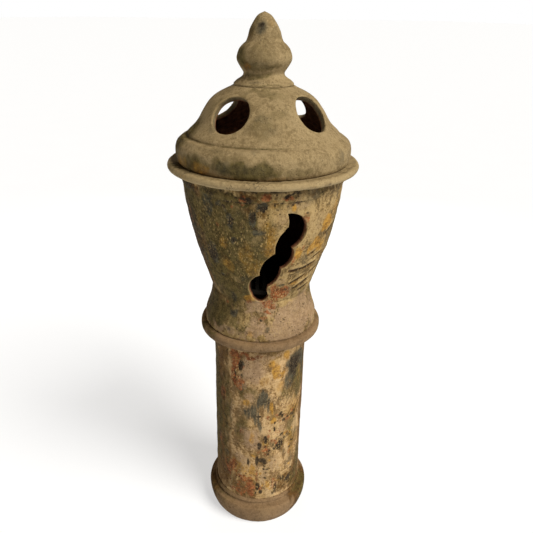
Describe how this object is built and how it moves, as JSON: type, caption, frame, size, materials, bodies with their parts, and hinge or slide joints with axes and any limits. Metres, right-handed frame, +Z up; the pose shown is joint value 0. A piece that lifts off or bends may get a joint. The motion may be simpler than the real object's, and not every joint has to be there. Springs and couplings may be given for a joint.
{
  "type": "chiminea",
  "caption": "Tall pedestal chiminea of fired clay: flared fire bowl with a scalloped mouth, vented domed lid with a bud finial, and a loose grate.",
  "frame": {"origin": "centre of the foot's resting face, on the ground", "axes": "+Z up along the pedestal's axis; -Y is the front, where the fire mouth is; +X is to the right seen from the front"},
  "size_m": [0.4076, 0.4076, 1.248],
  "materials": {
    "clay_brown": "matt fired clay, smoothed, with a brown wash",
    "clay_mottled": "matt fired clay with olive, ochre, slate and brick-red stains",
    "clay_tan": "matt sandy fired clay with grey-green smudges",
    "grate_iron": "rough, sooty and slightly rusted"
  },
  "bodies": {
    "pedestal": {"pedestal_foot": "clay_brown", "pedestal_column": "clay_mottled", "pedestal_plate": "clay_brown"},
    "bowl": {"bowl_foot": "clay_mottled", "bowl_body": "clay_mottled", "bowl_rim": "clay_tan"},
    "grate": {"fire_grate": "grate_iron"},
    "lid": {"lid_dome": "clay_tan", "lid_finial": "clay_tan"}
  },
  "joints": [
    {"name": "bowl_lift", "type": "slide", "parent": "pedestal", "child": "bowl", "axis": [0, 0, 1], "range_m": [0, 0.15]},
    {"name": "grate_lift", "type": "slide", "parent": "bowl", "child": "grate", "axis": [0, 0, 1], "range_m": [0, 0.33]},
    {"name": "lid_lift", "type": "slide", "parent": "bowl", "child": "lid", "axis": [0, 0, 1], "range_m": [0, 0.3]}
  ]
}
